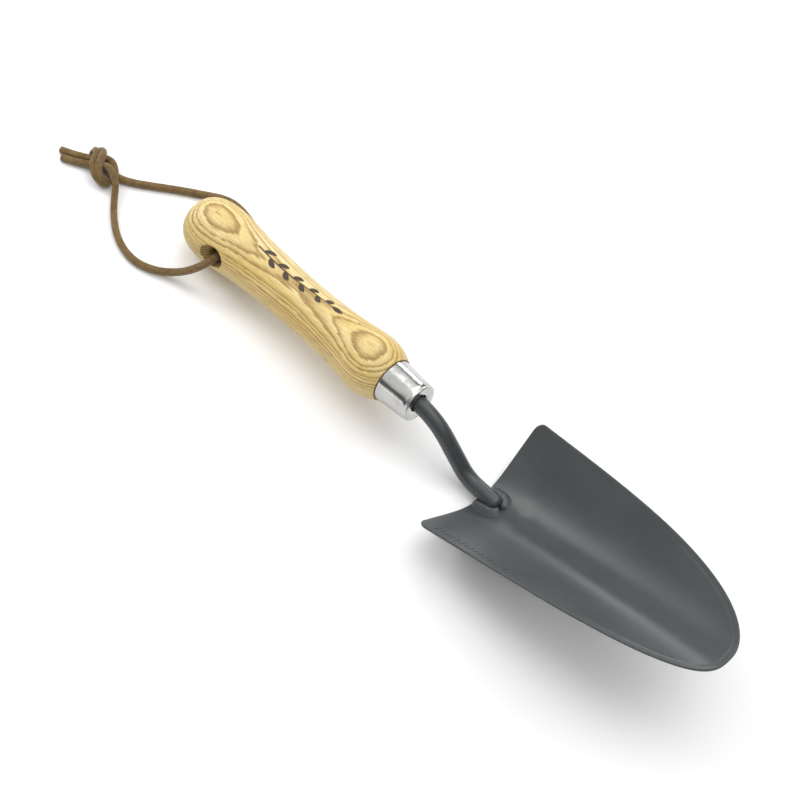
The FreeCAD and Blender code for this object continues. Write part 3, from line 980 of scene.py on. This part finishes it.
def make_sprig(profile, material):
    """A plain leafy sprig: one bowed stem with leaves to either side and one at its end."""
    points, faces = [], []

    def add(patch):
        more, quads = patch
        offset = len(points)
        points.extend(more)
        faces.extend(tuple(offset + k for k in quad) for quad in quads)

    line = []
    for i in range(STEM_STEPS + 1):
        station = STEM_REAR + STEM_LENGTH * i / STEM_STEPS
        line.append((station, stem_bend(station)))
    widths = [STEM_HALF_WIDTH - STEM_TAPER * i / STEM_STEPS for i in range(STEM_STEPS + 1)]
    add(burnt_patch(profile, line, widths))
    for k in range(LEAVES):
        root = FIRST_LEAF + LEAF_SPACING * k
        side = 1 if k % 2 else -1
        line = []
        for i in range(LEAF_STEPS + 1):
            u = i / LEAF_STEPS
            reach = (LEAF_LENGTH - LEAF_SHORTENING * k) * u
            bend = math.radians(46 - 22 * u)
            aside = stem_bend(root) + side * (0.2 + reach * math.sin(bend))
            line.append((root + reach * math.cos(bend), aside))
        widths = [leaf_width(i / LEAF_STEPS, LEAF_HALF_WIDTH) for i in range(LEAF_STEPS + 1)]
        add(burnt_patch(profile, line, widths))
    line = []
    for i in range(LEAF_STEPS + 1):
        u = i / LEAF_STEPS
        station = END_LEAF_REAR + END_LEAF_LENGTH * i / LEAF_STEPS
        line.append((station, stem_bend(END_LEAF_REAR) * (1 - u) + stem_bend(99) * i / LEAF_STEPS))
    widths = [leaf_width(i / LEAF_STEPS, END_LEAF_HALF_WIDTH) for i in range(LEAF_STEPS + 1)]
    add(burnt_patch(profile, line, widths))
    return mesh_object("burnt_sprig", points, faces, [material], 50)


# ---- floor, light --------------------------------------------------------------------------
FLOOR_HALF = 12.0
WORLD_STRENGTH = 1.5
WORLD_UNEVEN = 0.5
# (height, tone): a white sweep behind the floor, darker walls above it and a pale ceiling.
WORLD_TONES = ((0.25, 1.0), (0.34, 1.0), (0.44, 0.08), (0.76, 0.08), (0.97, 0.66))
BACKDROP_TONE = 0.64


def add_floor():
    f = Finish("pale_floor")
    soft = f.noise(f.place, 3.0, 2.0)
    color = f.mix(soft, (0.93, 0.93, 0.93), (0.95, 0.95, 0.95))
    texture = f.bump(f.noise(f.place, 900.0), 0.00004, 0.2)
    material = f.set(Base_Color=color, Roughness=0.75, Normal=texture)
    half = FLOOR_HALF
    corners = [(-half, -half, 0), (half, -half, 0), (half, half, 0), (-half, half, 0)]
    mesh = bpy.data.meshes.new("floor")
    mesh.from_pydata(corners, [], [(0, 1, 2, 3)])
    mesh.materials.append(material)
    floor = bpy.data.objects.new("floor", mesh)
    bpy.context.scene.collection.objects.link(floor)


def add_area(name, place, target, width, height, power):
    data = bpy.data.lights.new(name, "AREA")
    data.shape = "RECTANGLE"
    data.size = width
    data.size_y = height
    data.energy = power
    light = bpy.data.objects.new(name, data)
    light.location = place
    light.rotation_euler = (Vector(target) - Vector(place)).to_track_quat("-Z", "Y").to_euler()
    bpy.context.scene.collection.objects.link(light)


def add_world():
    world = bpy.data.worlds.new("studio")
    world.use_nodes = True
    tree = world.node_tree
    background = tree.nodes["Background"]
    place = tree.nodes.new("ShaderNodeTexCoord").outputs["Generated"]
    split = tree.nodes.new("ShaderNodeSeparateXYZ")
    tree.links.new(place, split.inputs[0])
    uneven = tree.nodes.new("ShaderNodeTexNoise")
    uneven.inputs["Scale"].default_value = 2.6
    uneven.inputs["Detail"].default_value = 1.5
    tree.links.new(place, uneven.inputs["Vector"])
    swing = tree.nodes.new("ShaderNodeMath")
    swing.operation = "MULTIPLY_ADD"
    swing.inputs[1].default_value = WORLD_UNEVEN
    tree.links.new(uneven.outputs[0], swing.inputs[0])
    tree.links.new(split.outputs[2], swing.inputs[2])
    tones = tree.nodes.new("ShaderNodeValToRGB")
    ramp = tones.color_ramp.elements
    for position, tone in WORLD_TONES:
        element = ramp.new(position)
        element.color = (tone, tone, tone, 1)
    ramp.remove(ramp[0])
    ramp.remove(ramp[-1])
    tree.links.new(swing.outputs[0], tones.inputs[0])
    seen = tree.nodes.new("ShaderNodeLightPath").outputs["Is Camera Ray"]
    backdrop = tree.nodes.new("ShaderNodeMix")
    backdrop.data_type = "RGBA"
    backdrop.inputs[7].default_value = (BACKDROP_TONE, BACKDROP_TONE, BACKDROP_TONE, 1)
    tree.links.new(seen, backdrop.inputs[0])
    tree.links.new(tones.outputs[0], backdrop.inputs[6])
    tree.links.new(backdrop.outputs[2], background.inputs["Color"])
    background.inputs["Strength"].default_value = WORLD_STRENGTH
    bpy.context.scene.world = world
    bpy.context.scene.view_settings.view_transform = "Standard"


# ---- putting it together -------------------------------------------------------------------
add_camera()

lace_suede = suede("suede_lace")
near_lace, near_line = make_lace("lace_near", NEAR_LACE, lace_suede)
far_lace, far_line = make_lace("lace_far", FAR_LACE, lace_suede)
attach(near_lace, "lanyard")
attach(far_lace, "lanyard")
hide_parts("lanyard_near_strand", "lanyard_knot", "lanyard_far_tail")
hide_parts("lanyard_far_strand", "lanyard_near_tail")

coating = coated_steel("blade_coating", (0.044, 0.051, 0.053), (1.0, 3.0, 3.0))
bar_coating = coated_steel("bar_coating", (0.040, 0.046, 0.048), (1.0, 2.0, 2.0))
weld_coating = coated_steel("weld_coating", (0.046, 0.052, 0.053), (3.0, 3.0, 3.0))
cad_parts["shank"].data.materials.clear()
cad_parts["shank"].data.materials.append(bar_coating)
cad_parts["tang_adhesive"].data.materials.clear()
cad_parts["tang_adhesive"].data.materials.append(cured_epoxy("tang_epoxy"))

# A much darker copy of the blade coating on the sheet's cut edge: painted shade along the edge.
shaded_edge_coating = coated_steel("blade_edge_painted_shade", (0.016, 0.018, 0.019), (3.0, 3.0, 3.0))
blade = make_blade(coating, shaded_edge_coating)
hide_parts("blade")
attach(blade, "trowel")

# A plain row of raised ticks near the blade's edge, every fifth one longer.
TICKS = 18
TICK_REAR = (11.0, -34.0)
TICK_STEP = (2.7, 0.17)
TICK_LEAN = 1.2
for i in range(TICKS):
    tick_x = TICK_REAR[0] + TICK_STEP[0] * i
    tick_y = TICK_REAR[1] + TICK_STEP[1] * i
    tick_length = 4.2 if i % 5 == 0 else 2.8
    mark = make_tick("blade_mark_%02d" % (i + 1), tick_x, tick_y, tick_length, TICK_LEAN, coating)
    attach(mark, "trowel")

NEAR_BEAD = [
    (0.5, -3.9, 0),
    (3.0, -4.0, 0),
    (7.0, -4.0, 0),
    (10.2, -3.6, 0),
    (12.0, -2.3, 0),
    (12.4, -0.1, 0),
]
FAR_BEAD = [
    (0.5, 3.9, 0),
    (3.0, 4.2, 0),
    (7.0, 4.4, 0),
    (10.8, 4.1, 0),
    (12.8, 2.3, 0),
    (13.0, -0.2, 0),
]
# Name, route, half widths along it, size of the ripples, distance between them, CAD node.
beads = (
    ("weld_bead_near", NEAR_BEAD, [3.0, 3.5, 3.7, 3.6, 3.3, 2.8], 0.05, 1.5, "weld_near"),
    ("weld_bead_far", FAR_BEAD, [3.0, 3.6, 3.9, 3.9, 3.6, 3.0], 0.08, 2.1, "weld_far"),
)
for bead_name, route, radii, ripple, pitch, node in beads:
    bead = make_bead(bead_name, route, radii, ripple, pitch, weld_coating)
    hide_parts(node)
    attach(bead, "trowel")

profile = handle_profile()
# The second wood is the same ash darkened as painted shade inside the hole, bore and ferrule.
handle = make_handle(profile, ash_wood("ash"), ash_wood("ash_painted_shade_inside", painted_shade=0.42))
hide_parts("handle")
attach(handle, "trowel")

sprig = make_sprig(profile, ash_wood("ash_burnt", burnt=True))
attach(sprig, "trowel")

ferrule = make_ferrule(polished_steel("ferrule_polish"))
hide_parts("ferrule")
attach(ferrule, "trowel")

add_floor()
add_world()
add_area("key", (-0.83, 0.0, 0.57), (0.1, 0, 0.03), 0.44, 0.34, 2.9)
add_area("far_side", (-0.46, 0.95, 0.40), (0.1, 0, 0.03), 0.5, 0.26, 2.6)
add_area("top", (0.15, 0.6, 1.5), (0, 0, 0), 1.5, 1.5, 12.5)
add_area("side", (1.1, -0.8, 0.9), (0, 0, 0), 1.2, 0.9, 1.0)
